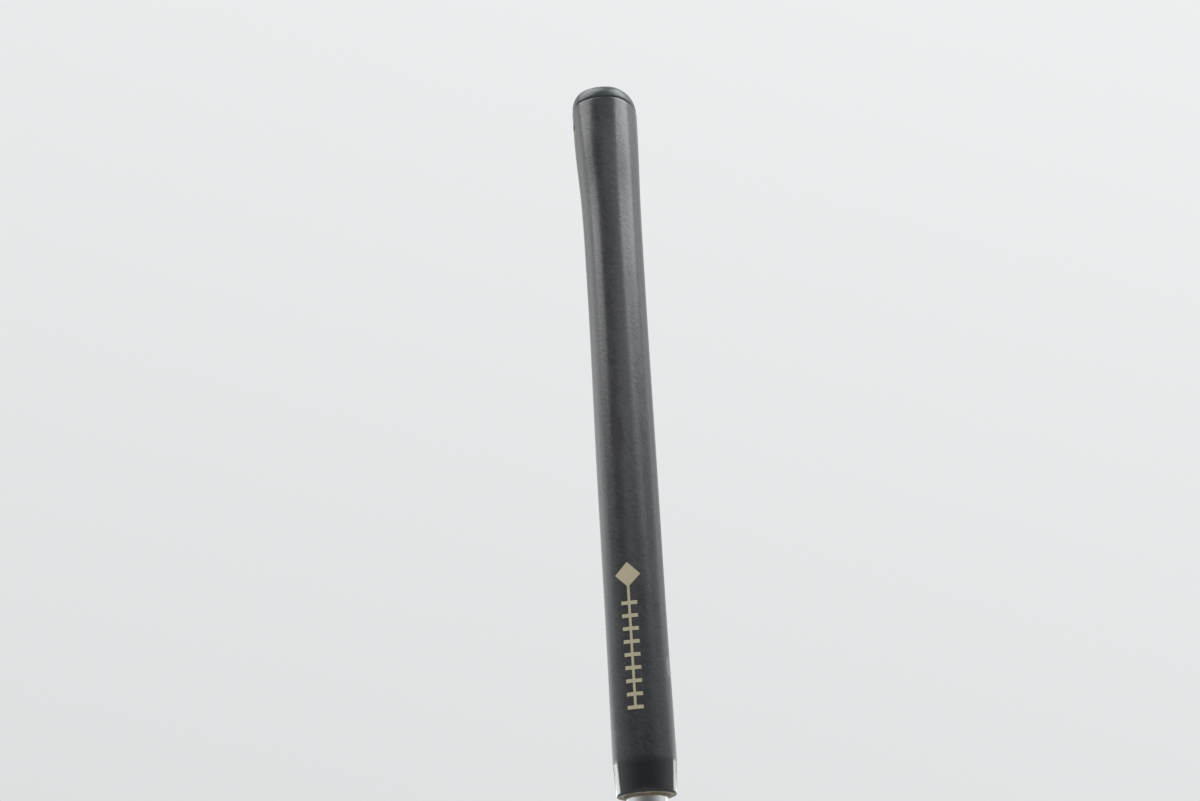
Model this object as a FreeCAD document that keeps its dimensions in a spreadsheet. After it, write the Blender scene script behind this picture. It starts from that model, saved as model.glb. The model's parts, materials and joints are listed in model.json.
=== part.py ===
import FreeCAD, Part
import math
import os
import Sketcher

# A right-handed blade putter with a pistol grip, in millimetres.
# The shaft's axis is +Z with the butt up, and the origin is where the hands hold the grip.
# The grip's flat front and the head's toe look towards -Y, and the club's face looks towards +X.
# Heights of the grip count from its mouth. Those of shaft, neck and head count from the ground, at the
# place where the shaft's axis meets it.

document = FreeCAD.newDocument("Putter")
sheet = document.addObject("Spreadsheet::Sheet", "Sizes")

driving_sizes = {
    # Whole club
    "club_length": 889.0,
    "lie_angle": 71.0,
    "face_loft": 3.5,
    # Grip sleeve
    "hold_rise": 134.0,
    "sleeve_length": 263.5,
    "grip_half_width": 10.9,
    "collar_length": 12.5,
    "collar_top_radius": 11.0,
    "collar_low_radius": 10.8,
    "lip_radius": 10.5,
    "lip_end_radius": 9.9,
    "lip_height": 2.6,
    "lip_edge": 0.9,
    # Grip end cap
    "cap_height": 6.3,
    "cap_plug_length": 6.0,
    "cap_plug_clearance": 0.15,
    "vent_radius": 1.3,
    # Mark on the grip's flat front
    "mark_rise": 29.0,
    "mark_line_length": 44.0,
    "mark_line_width": 0.9,
    "mark_tick_count": 9,
    "mark_tick_width": 1.3,
    "mark_tick_length": 5.6,
    "mark_lozenge_size": 9.0,
    "mark_depth": 0.5,
    # Tape and shaft
    "tape_thickness": 0.4,
    "tape_edge": 0.9,
    "shaft_butt_diameter": 14.4,
    "shaft_tip_diameter": 9.4,
    "shaft_wall": 0.5,
    "step_count": 12,
    "step_pitch": 34.0,
    "step_bevel": 1.2,
    "tip_run": 62.0,
    # Neck
    "neck_top": 78.0,
    "neck_diameter": 12.8,
    "socket_depth": 28.0,
    "glue_gap": 0.15,
    "glue_bead": 0.4,
    "shelf_bottom": 39.0,
    "shelf_top": 48.0,
    "stub_top": 29.5,
    "stub_bottom": 8.0,
    "neck_corner": 2.0,
    "neck_blend": 2.2,
    "spigot_diameter": 4.2,
    "spigot_length": 9.0,
    "spigot_clearance": 0.03,
    # Head
    "head_length": 114.0,
    "head_depth": 29.0,
    "head_height": 25.0,
    "heel_reach": 17.0,
    "face_offset": 9.4,
    "back_round": 12.0,
    "front_round": 1.6,
    "end_round": 7.5,
    "blade_thickness": 8.6,
    "blade_foot": 1.8,
    "shoulder_height": 14.5,
    "shoulder_back_height": 9.8,
    "flange_thickness": 4.8,
    "cavity_length": 58.0,
    "cavity_round": 5.0,
    # Face insert
    "insert_length": 64.0,
    "insert_height": 15.6,
    "insert_rise": 4.6,
    "insert_round": 3.5,
    "insert_thickness": 3.6,
    "bed_thickness": 0.8,
    # Sole weights and sight line
    "weight_radius": 6.0,
    "weight_clearance": 0.05,
    "weight_depth": 7.0,
    "weight_spacing": 82.0,
    "weight_setback": 19.0,
    "key_hole_radius": 0.9,
    "key_hole_spacing": 6.4,
    "key_hole_depth": 2.5,
    "line_width": 1.5,
    "line_margin": 2.0,
    "line_depth": 0.5,
    # One overrun for every cut that runs out of the material
    "cut_overrun": 5.0,
}

for row, (alias, number) in enumerate(driving_sizes.items(), start=1):
    sheet.set(f"A{row}", alias)
    sheet.set(f"B{row}", str(number))
    sheet.setAlias(f"B{row}", alias)
document.recompute()

# Sections of the grip above its collar. The first share is the height between collar and seam, and the
# others are shares of grip_half_width: half width, half width of the flat front, depth of the front, crown
# of the front, how far the widest place lies behind the axis, and the length of the straight side.
grip_section_shares = [
    (0.000, 1.018, 0.413, 1.018, 0.088, 0.001, 0.030),
    (0.150, 0.993, 0.413, 0.986, 0.057, 0.030, 0.046),
    (0.430, 1.000, 0.413, 0.967, 0.037, 0.100, 0.064),
    (0.710, 0.996, 0.413, 0.950, 0.035, 0.180, 0.078),
    (0.850, 1.022, 0.440, 0.995, 0.046, 0.185, 0.120),
    (0.945, 1.097, 0.569, 1.147, 0.115, 0.150, 0.185),
    (1.000, 1.110, 0.661, 1.211, 0.220, 0.128, 0.239),
]

# Sections of the end cap: height as a share of cap_height, and outline as a share of the sleeve's last one.
cap_section_shares = [
    (0.00, 0.985),
    (0.40, 0.965),
    (0.72, 0.870),
    (0.93, 0.690),
    (1.00, 0.480),
]

# Places that several pieces share, as expressions of the sizes.
mouth_height = "(0 - Sizes.hold_rise)"
ground_height = "(Sizes.sleeve_length + Sizes.cap_height - Sizes.hold_rise - Sizes.club_length)"
butt_radius = "(Sizes.shaft_butt_diameter / 2)"
tip_radius = "(Sizes.shaft_tip_diameter / 2)"
bore_radius = "(Sizes.shaft_butt_diameter / 2 + Sizes.tape_thickness)"
neck_radius = "(Sizes.neck_diameter / 2)"
socket_radius = "(Sizes.shaft_tip_diameter / 2 + Sizes.glue_gap)"
socket_bottom = "(Sizes.neck_top - Sizes.socket_depth)"
shaft_top = "(Sizes.club_length - Sizes.cap_height - Sizes.cap_plug_length)"
face_setback = "(Sizes.face_offset - Sizes.shaft_tip_diameter / 2)"
face_lean = "(Sizes.head_height * tan(Sizes.face_loft))"
blade_back = f"({face_setback} + Sizes.blade_thickness)"
post_front = f"({face_setback} + {face_lean})"
post_middle = f"(({post_front} + {blade_back}) / 2)"
head_back = f"({face_setback} + Sizes.head_depth)"
head_middle = "(Sizes.heel_reach - Sizes.head_length / 2)"
toe_end = "(Sizes.heel_reach - Sizes.head_length)"
pocket_depth = "(Sizes.insert_thickness + Sizes.bed_thickness)"
weight_across = f"(0 - {face_setback} - Sizes.weight_setback)"

# How close two places must be to count as one.
touching = 1e-4


def size(expression):
    """The present value of an expression of the sheet's sizes."""
    return float(sheet.evalExpression(expression))


def make_body(name, height=None, leans=False):
    """A body whose frame stands at a height on the shaft's axis, and leans with the head if asked."""
    body = document.addObject("PartDesign::Body", name)
    body.Label = name
    if leans:
        body.Placement = FreeCAD.Placement(FreeCAD.Vector(), FreeCAD.Rotation(FreeCAD.Vector(1, 0, 0), 1))
        body.setExpression("Placement.Rotation.Angle", "90 - Sizes.lie_angle")
    if height:
        body.setExpression("Placement.Base.z", height)
    return body


def make_sketch(body, name, role, base=None, tilt=None):
    """A sketch on one of the body's own planes, moved by base and tilted about its own first axis."""
    sketch = body.newObject("Sketcher::SketchObject", name)
    plane = next(feature for feature in body.Origin.OriginFeatures if feature.Role == role)
    sketch.AttachmentSupport = (plane, [""])
    sketch.MapMode = "FlatFace"
    if tilt:
        turn = FreeCAD.Rotation(FreeCAD.Vector(1, 0, 0), 1)
        sketch.AttachmentOffset = FreeCAD.Placement(FreeCAD.Vector(), turn)
        sketch.setExpression("AttachmentOffset.Rotation.Angle", tilt)
    for axis, expression in (base or {}).items():
        sketch.setExpression(f"AttachmentOffset.Base.{axis}", expression)
    return sketch


def bind(sketch, constraint, expression):
    """Adds a dimension to a sketch and drives it by an expression."""
    index = sketch.addConstraint(constraint)
    sketch.setExpression(f"Constraints[{index}]", expression)


def place_point(sketch, geometry, point, across, up):
    """Ties one point of the sketch to the origin, with both distances driven by expressions."""
    for kind, axis, expression in (("DistanceX", -2, across), ("DistanceY", -1, up)):
        distance = size(expression)
        if expression == "0":
            sketch.addConstraint(Sketcher.Constraint("PointOnObject", geometry, point, axis))
        else:
            bind(sketch, Sketcher.Constraint(kind, -1, 1, geometry, point, distance), expression)


def draw_outline(sketch, points):
    """A closed outline, drawn anticlockwise. Each point is (across, up), or (across, up, radius) where an
    arc of that radius, bulging outwards, leads to it from the point before."""
    corners = [FreeCAD.Vector(size(point[0]), size(point[1]), 0) for point in points]
    first = sketch.GeometryCount
    for index, point in enumerate(points):
        start, end = corners[index - 1], corners[index]
        if len(point) == 3:
            chord = end - start
            radius = max(size(point[2]), chord.Length / 2)
            inward = FreeCAD.Vector(-chord.y, chord.x, 0).normalize()
            rise = math.sqrt(radius ** 2 - (chord.Length / 2) ** 2)
            centre = start + chord / 2 + inward * rise
            angles = [math.atan2(corner.y - centre.y, corner.x - centre.x) for corner in (start, end)]
            circle = Part.Circle(centre, FreeCAD.Vector(0, 0, 1), radius)
            sketch.addGeometry(Part.ArcOfCircle(circle, *angles))
        else:
            sketch.addGeometry(Part.LineSegment(start, end))
    for index, point in enumerate(points):
        geometry = first + index
        following = first + (index + 1) % len(points)
        sketch.addConstraint(Sketcher.Constraint("Coincident", geometry, 2, following, 1))
        place_point(sketch, geometry, 2, point[0], point[1])
        if len(point) == 3:
            bind(sketch, Sketcher.Constraint("Radius", geometry, size(point[2])), point[2])


def draw_circle(sketch, radius, across="0", up="0"):
    """A circle whose radius and centre are driven by expressions."""
    centre = FreeCAD.Vector(size(across), size(up), 0)
    geometry = sketch.addGeometry(Part.Circle(centre, FreeCAD.Vector(0, 0, 1), size(radius)))
    bind(sketch, Sketcher.Constraint("Radius", geometry, size(radius)), radius)
    place_point(sketch, geometry, 3, across, up)


def rounded_box(low_x, high_x, low_y, high_y, radius):
    """The outline of an upright rectangle whose four corners have one radius."""
    return [
        (f"{low_x} + {radius}", low_y, radius),
        (f"{high_x} - {radius}", low_y),
        (high_x, f"{low_y} + {radius}", radius),
        (high_x, f"{high_y} - {radius}"),
        (f"{high_x} - {radius}", high_y, radius),
        (f"{low_x} + {radius}", high_y),
        (low_x, f"{high_y} - {radius}", radius),
        (low_x, f"{low_y} + {radius}"),
    ]


def pad(body, sketch, length, reversed_way=False):
    """Pads a sketch by a driven length."""
    feature = body.newObject("PartDesign::Pad", f"{sketch.Name}_pad")
    feature.Profile = sketch
    feature.Reversed = reversed_way
    feature.setExpression("Length", length)
    return feature


def pocket(body, sketch, length=None, reversed_way=False, both_ways=False):
    """Cuts a sketch by a driven length, or right through the body to both sides."""
    document.recompute()
    feature = body.newObject("PartDesign::Pocket", f"{sketch.Name}_pocket")
    feature.Profile = sketch
    feature.Reversed = reversed_way
    if both_ways:
        feature.Type = "ThroughAll"
        feature.Midplane = True
    else:
        feature.setExpression("Length", length)
    before = body.Shape.Volume
    document.recompute()
    if body.Shape.Volume >= before:
        raise RuntimeError(f"{feature.Name} cuts nothing")
    return feature


def revolve(body, sketch):
    """Turns a sketch of the XZ plane about the body's own upright axis."""
    feature = body.newObject("PartDesign::Revolution", f"{sketch.Name}_turn")
    feature.Profile = sketch
    feature.ReferenceAxis = (sketch, ["V_Axis"])
    feature.Angle = 360
    return feature


def loft(body, sketches):
    """A smooth loft through a row of sketches."""
    feature = body.newObject("PartDesign::AdditiveLoft", f"{sketches[0].Name}_loft")
    feature.Profile = sketches[0]
    feature.Sections = sketches[1:]
    feature.Ruled = False
    return feature


def fillet(body, radius, picks):
    """Rounds the edges of the body that the test picks, by a driven radius."""
    document.recompute()
    base = body.Tip
    names = [f"Edge{number}" for number, edge in enumerate(base.Shape.Edges, start=1) if picks(edge)]
    if not names:
        raise RuntimeError(f"no edge of {body.Name} to round")
    feature = body.newObject("PartDesign::Fillet", f"{body.Name}_fillet")
    feature.Base = (base, names)
    feature.setExpression("Radius", radius)
    document.recompute()
    return feature


def grip_outline(shares, scale="1"):
    """The grip's outline in one section: crowned flat front, rounded sides, straight run, round back."""
    lengths = [f"({share} * Sizes.grip_half_width * {scale})" for share in shares[1:]]
    wide, flat, front, crown, lag, run = lengths
    side_reach = f"({front} - {crown} + {lag})"
    side_gap = f"({wide} - {flat})"
    side_radius = f"(({side_gap} ^ 2 + {side_reach} ^ 2) / (2 * {side_gap}))"
    front_radius = f"(({flat} ^ 2 + {crown} ^ 2) / (2 * {crown}))"
    return [
        (flat, f"{crown} - {front}", front_radius),
        (wide, lag, side_radius),
        (wide, f"{lag} + {run}"),
        ("0", f"{lag} + {run} + {wide}", wide),
        (f"0 - {wide}", f"{lag} + {run}", wide),
        (f"0 - {wide}", lag),
        (f"0 - {flat}", f"{crown} - {front}", side_radius),
    ]


def make_grip_blank():
    """The grip's outer shape with its bore: lofted body over a turned collar with a rounded lip."""
    body = make_body("grip_blank", mouth_height)
    sections = []
    for index, shares in enumerate(grip_section_shares):
        run = "(Sizes.sleeve_length - Sizes.collar_length)"
        height = f"Sizes.collar_length + {shares[0]} * {run}"
        section = make_sketch(body, f"grip_section_{index}", "XY_Plane", {"z": height})
        draw_outline(section, grip_outline(shares))
        sections.append(section)
    loft(body, sections)
    collar = make_sketch(body, "grip_collar", "XZ_Plane")
    draw_outline(collar, [
        ("0", "0"),
        ("Sizes.lip_end_radius", "0"),
        ("Sizes.lip_radius", "Sizes.lip_edge"),
        ("Sizes.collar_low_radius", "Sizes.lip_height"),
        ("Sizes.collar_top_radius", "Sizes.collar_length"),
        ("0", "Sizes.collar_length"),
    ])
    revolve(body, collar)
    bore = make_sketch(body, "grip_bore", "XY_Plane")
    draw_circle(bore, bore_radius)
    pocket(body, bore, both_ways=True)
    return body


def make_mark_cutter():
    """The space of the mark: a lozenge over a line with ticks, from its floor outwards through the front."""
    body = make_body("mark_cutter", mouth_height)
    front = f"({grip_section_shares[2][3]} * Sizes.grip_half_width)"
    floor = {"z": f"{front} - Sizes.mark_depth"}
    depth = "Sizes.mark_depth + Sizes.cut_overrun"
    half_line = "(Sizes.mark_line_width / 2)"
    line_top = "(Sizes.mark_rise + Sizes.mark_line_length)"
    line = make_sketch(body, "mark_line", "XZ_Plane", floor)
    draw_outline(line, [
        (f"0 - {half_line}", "Sizes.mark_rise"),
        (half_line, "Sizes.mark_rise"),
        (half_line, line_top),
        (f"0 - {half_line}", line_top),
    ])
    pad(body, line, depth)
    half_tick = "(Sizes.mark_tick_length / 2)"
    for index in range(driving_sizes["mark_tick_count"]):
        spacing = "((Sizes.mark_line_length - 2 * Sizes.mark_tick_width) / Sizes.mark_tick_count)"
        low = f"(Sizes.mark_rise + {index} * {spacing})"
        tick = make_sketch(body, f"mark_tick_{index}", "XZ_Plane", floor)
        draw_outline(tick, [
            (f"0 - {half_tick}", low),
            (half_tick, low),
            (half_tick, f"{low} + Sizes.mark_tick_width"),
            (f"0 - {half_tick}", f"{low} + Sizes.mark_tick_width"),
        ])
        pad(body, tick, depth)
    half_lozenge = "(Sizes.mark_lozenge_size / 2)"
    middle = f"({line_top} + {half_lozenge} - Sizes.mark_line_width)"
    lozenge = make_sketch(body, "mark_lozenge", "XZ_Plane", floor)
    draw_outline(lozenge, [
        ("0", f"{middle} - {half_lozenge}"),
        (half_lozenge, middle),
        ("0", f"{middle} + {half_lozenge}"),
        (f"0 - {half_lozenge}", middle),
    ])
    pad(body, lozenge, depth)
    return body


def make_boolean(kind, name, base, tool):
    """A boolean of two bodies as a sub-part of its own."""
    result = document.addObject(kind, name)
    result.Label = name
    result.Base = base
    result.Tool = tool
    return result


def make_grip_end_cap():
    """The domed cap on the butt, with the plug that sits in the sleeve's bore, and its vent hole."""
    body = make_body("grip_end_cap", f"{mouth_height} + Sizes.sleeve_length")
    sections = []
    for index, (height_share, outline_share) in enumerate(cap_section_shares):
        base = {"z": f"{height_share} * Sizes.cap_height"}
        section = make_sketch(body, f"cap_section_{index}", "XY_Plane", base)
        draw_outline(section, grip_outline(grip_section_shares[-1], str(outline_share)))
        sections.append(section)
    loft(body, sections)
    plug = make_sketch(body, "cap_plug", "XY_Plane")
    draw_circle(plug, f"{bore_radius} - Sizes.cap_plug_clearance")
    pad(body, plug, "Sizes.cap_plug_length", reversed_way=True)
    vent = make_sketch(body, "cap_vent", "XY_Plane")
    draw_circle(vent, "Sizes.vent_radius")
    pocket(body, vent, both_ways=True)
    return body


def make_grip_tape():
    """The tape between sleeve and shaft, whose edge shows below the mouth."""
    body = make_body("grip_tape", mouth_height)
    ring = make_sketch(body, "tape_ring", "XY_Plane", {"z": "0 - Sizes.tape_edge"})
    draw_circle(ring, bore_radius)
    draw_circle(ring, butt_radius)
    pad(body, ring, "Sizes.tape_edge + Sizes.sleeve_length - Sizes.cap_plug_length")
    return body


def make_shaft():
    """The stepped tube: a short bevel leads from each step to the next, wider one."""
    body = make_body("shaft", ground_height)
    step_rise = f"(({butt_radius} - {tip_radius}) / Sizes.step_count)"
    steps = driving_sizes["step_count"]
    outer = []
    for index in range(steps):
        middle = f"(Sizes.neck_top + Sizes.tip_run + {index} * Sizes.step_pitch)"
        radius = f"({tip_radius} + {index} * {step_rise})"
        outer.append((radius, f"{middle} - Sizes.step_bevel / 2"))
        outer.append((f"{radius} + {step_rise}", f"{middle} + Sizes.step_bevel / 2"))
    last_step = f"(Sizes.neck_top + Sizes.tip_run + {steps - 1} * Sizes.step_pitch)"
    profile = make_sketch(body, "shaft_profile", "XZ_Plane")
    draw_outline(profile, [
        (f"{tip_radius} - Sizes.shaft_wall", socket_bottom),
        (tip_radius, socket_bottom),
        *outer,
        (butt_radius, shaft_top),
        (f"{butt_radius} - Sizes.shaft_wall", shaft_top),
        (f"{butt_radius} - Sizes.shaft_wall", last_step),
        (f"{tip_radius} - Sizes.shaft_wall", "Sizes.neck_top + Sizes.tip_run"),
    ])
    revolve(body, profile)
    return body


def make_hosel_adhesive():
    """The ring of epoxy round the shaft's tip, with its small bead above the neck."""
    body = make_body("hosel_adhesive", ground_height)
    ring = make_sketch(body, "adhesive_ring", "XY_Plane", {"z": socket_bottom})
    draw_circle(ring, socket_radius)
    draw_circle(ring, tip_radius)
    pad(body, ring, "Sizes.socket_depth + Sizes.glue_bead")
    return body


def make_neck():
    """The offset neck: socket barrel, shelf to the back and post down to the head, with its spigot."""
    body = make_body("neck", ground_height)
    barrel = make_sketch(body, "neck_barrel", "XY_Plane", {"z": "Sizes.shelf_bottom"})
    draw_circle(barrel, neck_radius)
    pad(body, barrel, "Sizes.neck_top - Sizes.shelf_bottom")
    corner = "Sizes.neck_corner"
    shelf = make_sketch(body, "neck_shelf", "XY_Plane", {"z": "Sizes.shelf_bottom"})
    draw_outline(shelf, [
        (f"{corner} - {blade_back}", f"0 - {neck_radius}", corner),
        ("0", f"0 - {neck_radius}"),
        (neck_radius, "0", neck_radius),
        ("0", neck_radius, neck_radius),
        (f"{corner} - {blade_back}", neck_radius),
        (f"0 - {blade_back}", f"{neck_radius} - {corner}", corner),
        (f"0 - {blade_back}", f"{corner} - {neck_radius}"),
    ])
    pad(body, shelf, "Sizes.shelf_top - Sizes.shelf_bottom")
    post = make_sketch(body, "neck_post", "XY_Plane", {"z": "Sizes.stub_top"})
    draw_outline(post, rounded_box(
        f"(0 - {blade_back})", f"(0 - {post_front})", f"(0 - {neck_radius})", neck_radius, corner))
    pad(body, post, "Sizes.shelf_top - Sizes.stub_top")
    spigot = make_sketch(body, "neck_spigot", "XY_Plane", {"z": "Sizes.stub_top"})
    draw_circle(spigot, "Sizes.spigot_diameter / 2", f"0 - {post_middle}")
    pad(body, spigot, "Sizes.spigot_length", reversed_way=True)
    socket = make_sketch(body, "neck_socket", "XY_Plane", {"z": "Sizes.neck_top"})
    draw_circle(socket, socket_radius)
    pocket(body, socket, "Sizes.socket_depth")
    fillet(body, "Sizes.neck_blend", is_inner_neck_corner)
    return body


def is_inner_neck_corner(edge):
    """Whether an edge is the hollow corner where the shelf's underside meets the post's front."""
    middle = edge.CenterOfMass
    under = math.isclose(middle.z, size("Sizes.shelf_bottom"), abs_tol=touching)
    at_post = math.isclose(middle.x, -size(post_front), abs_tol=touching)
    return under and at_post


def make_head_body():
    """The blade with heel and toe shoulders, back flange, neck stub, and its pockets."""
    body = make_body("head_body", ground_height, leans=True)
    plan = make_sketch(body, "head_plan", "XY_Plane")
    draw_outline(plan, [
        (f"Sizes.back_round - {head_back}", toe_end, "Sizes.back_round"),
        (f"0 - {face_setback} - Sizes.front_round", toe_end),
        (f"0 - {face_setback}", f"{toe_end} + Sizes.front_round", "Sizes.front_round"),
        (f"0 - {face_setback}", "Sizes.heel_reach - Sizes.front_round"),
        (f"0 - {face_setback} - Sizes.front_round", "Sizes.heel_reach", "Sizes.front_round"),
        (f"Sizes.back_round - {head_back}", "Sizes.heel_reach"),
        (f"0 - {head_back}", "Sizes.heel_reach - Sizes.back_round", "Sizes.back_round"),
        (f"0 - {head_back}", f"{toe_end} + Sizes.back_round"),
    ])
    pad(body, plan, "Sizes.head_height")
    over = "Sizes.cut_overrun"
    ends = make_sketch(body, "head_ends", "YZ_Plane")
    draw_outline(ends, rounded_box(toe_end, "Sizes.heel_reach", "0", "Sizes.head_height", "Sizes.end_round"))
    draw_outline(ends, [
        (f"{toe_end} - {over}", f"0 - {over}"),
        (f"Sizes.heel_reach + {over}", f"0 - {over}"),
        (f"Sizes.heel_reach + {over}", f"Sizes.head_height + {over}"),
        (f"{toe_end} - {over}", f"Sizes.head_height + {over}"),
    ])
    pocket(body, ends, both_ways=True)
    shoulder = make_sketch(body, "head_shoulder", "XZ_Plane")
    draw_outline(shoulder, [
        (f"0 - {head_back} - {over}", "Sizes.shoulder_back_height"),
        (f"0 - {head_back}", "Sizes.shoulder_back_height"),
        (f"0 - {blade_back} - Sizes.blade_foot", "Sizes.shoulder_height"),
        (f"0 - {blade_back}", f"Sizes.head_height + {over}"),
        (f"0 - {head_back} - {over}", f"Sizes.head_height + {over}"),
    ])
    pocket(body, shoulder, both_ways=True)
    cavity = make_sketch(body, "head_cavity", "XY_Plane", {"z": "Sizes.flange_thickness"})
    draw_outline(cavity, rounded_box(
        f"(0 - {head_back} - {over})", f"(0 - {blade_back} - Sizes.blade_foot)",
        f"({head_middle} - Sizes.cavity_length / 2)", f"({head_middle} + Sizes.cavity_length / 2)",
        "Sizes.cavity_round"))
    pocket(body, cavity, "Sizes.head_height", reversed_way=True)
    loft_cut = make_sketch(body, "head_loft", "XZ_Plane")
    draw_outline(loft_cut, [
        (f"0 - {face_setback}", "0"),
        (f"{over} - {face_setback}", "0"),
        (f"{over} - {face_setback}", "Sizes.head_height"),
        (f"0 - {post_front}", "Sizes.head_height"),
    ])
    pocket(body, loft_cut, both_ways=True)
    rise = {"y": "Sizes.stub_bottom * cos(Sizes.lie_angle)", "z": "Sizes.stub_bottom * sin(Sizes.lie_angle)"}
    stub = make_sketch(body, "head_stub", "XY_Plane", rise, "Sizes.lie_angle - 90")
    draw_outline(stub, rounded_box(
        f"(0 - {blade_back})", f"(0 - {post_front})", f"(0 - {neck_radius})", neck_radius,
        "Sizes.neck_corner"))
    pad(body, stub, "Sizes.stub_top - Sizes.stub_bottom")
    top = {"y": "Sizes.stub_top * cos(Sizes.lie_angle)", "z": "Sizes.stub_top * sin(Sizes.lie_angle)"}
    spigot = make_sketch(body, "head_spigot", "XY_Plane", top, "Sizes.lie_angle - 90")
    draw_circle(spigot, "Sizes.spigot_diameter / 2 + Sizes.spigot_clearance", f"0 - {post_middle}")
    pocket(body, spigot, "Sizes.spigot_length")
    face = make_sketch(body, "head_face", "YZ_Plane", face_base("0"), "0 - Sizes.face_loft")
    draw_outline(face, insert_outline())
    pocket(body, face, pocket_depth)
    for name, side in (("heel", "+"), ("toe", "-")):
        seat = make_sketch(body, f"head_weight_{name}", "XY_Plane")
        draw_circle(seat, "Sizes.weight_radius + Sizes.weight_clearance", weight_across, weight_place(side))
        pocket(body, seat, "Sizes.weight_depth + Sizes.weight_clearance", reversed_way=True)
    groove = make_sketch(body, "head_groove", "XY_Plane", {"z": "Sizes.flange_thickness - Sizes.line_depth"})
    draw_outline(groove, line_outline())
    pocket(body, groove, f"Sizes.line_depth + {over}", reversed_way=True)
    return body


def weight_place(side):
    """Where a weight lies along the head: heel or toe side of its middle."""
    return f"({head_middle} {side} Sizes.weight_spacing / 2)"


def face_base(depth):
    """The lofted face plane's own origin, at a depth behind the face."""
    return {
        "y": f"0 - {depth} * sin(Sizes.face_loft)",
        "z": f"0 - {face_setback} - {depth} * cos(Sizes.face_loft)",
    }


def insert_outline():
    """The outline of the face insert, its bed and their pocket."""
    return rounded_box(
        f"({head_middle} - Sizes.insert_length / 2)", f"({head_middle} + Sizes.insert_length / 2)",
        "Sizes.insert_rise", "(Sizes.insert_rise + Sizes.insert_height)", "Sizes.insert_round")


def line_outline():
    """The outline of the sight line, square to the face on the flange."""
    low_x = f"(Sizes.line_margin - {head_back})"
    high_x = f"(0 - {blade_back} - Sizes.blade_foot - Sizes.line_margin)"
    low_y = f"({head_middle} - Sizes.line_width / 2)"
    high_y = f"({head_middle} + Sizes.line_width / 2)"
    return [(low_x, low_y), (high_x, low_y), (high_x, high_y), (low_x, high_y)]


def make_face_layer(name, depth, thickness):
    """One layer in the face pocket, whose front lies at a depth behind the face."""
    body = make_body(name, ground_height, leans=True)
    sketch = make_sketch(body, f"{name}_outline", "YZ_Plane", face_base(depth), "0 - Sizes.face_loft")
    draw_outline(sketch, insert_outline())
    pad(body, sketch, thickness, reversed_way=True)
    return body


def make_sole_weight(name, side):
    """A weight screw, flush with the sole, with two holes for its key."""
    body = make_body(name, ground_height, leans=True)
    disc = make_sketch(body, f"{name}_disc", "XY_Plane")
    draw_circle(disc, "Sizes.weight_radius", weight_across, weight_place(side))
    pad(body, disc, "Sizes.weight_depth")
    for index, key_side in enumerate(("+", "-")):
        hole = make_sketch(body, f"{name}_key_{index}", "XY_Plane")
        across = f"{weight_across} {key_side} Sizes.key_hole_spacing / 2"
        draw_circle(hole, "Sizes.key_hole_radius", across, weight_place(side))
        pocket(body, hole, "Sizes.key_hole_depth", reversed_way=True)
    return body


def make_sight_line():
    """The paint that fills the groove on the flange."""
    body = make_body("sight_line", ground_height, leans=True)
    sketch = make_sketch(body, "line_plan", "XY_Plane", {"z": "Sizes.flange_thickness - Sizes.line_depth"})
    draw_outline(sketch, line_outline())
    pad(body, sketch, "Sizes.line_depth")
    return body


grip_blank = make_grip_blank()
mark_cutter = make_mark_cutter()
sub_parts = [
    make_boolean("Part::Cut", "grip_sleeve", grip_blank, mark_cutter),
    make_boolean("Part::Common", "grip_mark", grip_blank, mark_cutter),
    make_grip_end_cap(),
    make_grip_tape(),
    make_shaft(),
    make_hosel_adhesive(),
    make_neck(),
    make_head_body(),
    make_face_layer("face_insert", "0", "Sizes.insert_thickness"),
    make_face_layer("insert_bed", "Sizes.insert_thickness", "Sizes.bed_thickness"),
    make_sole_weight("sole_weight_heel", "+"),
    make_sole_weight("sole_weight_toe", "-"),
    make_sight_line(),
]
document.recompute()

for item in document.Objects:
    if "Invalid" in item.State or "Error" in item.State:
        raise RuntimeError(f"{item.Name} failed: {item.State}")
for item in sub_parts:
    if item.Shape.isNull() or not item.Shape.isValid():
        raise RuntimeError(f"{item.Label} has no valid shape")

os.makedirs("parts", exist_ok=True)
for item in sub_parts:
    item.Shape.exportStep(f"parts/{item.Label}.step")
    print(f"{item.Label}: {len(item.Shape.Solids)} solid, {item.Shape.Volume:.1f} mm3")
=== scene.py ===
import json
import math

import bmesh
import bpy
import numpy as np
from mathutils import Matrix, Vector
from mathutils.noise import noise as noiseField

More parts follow.
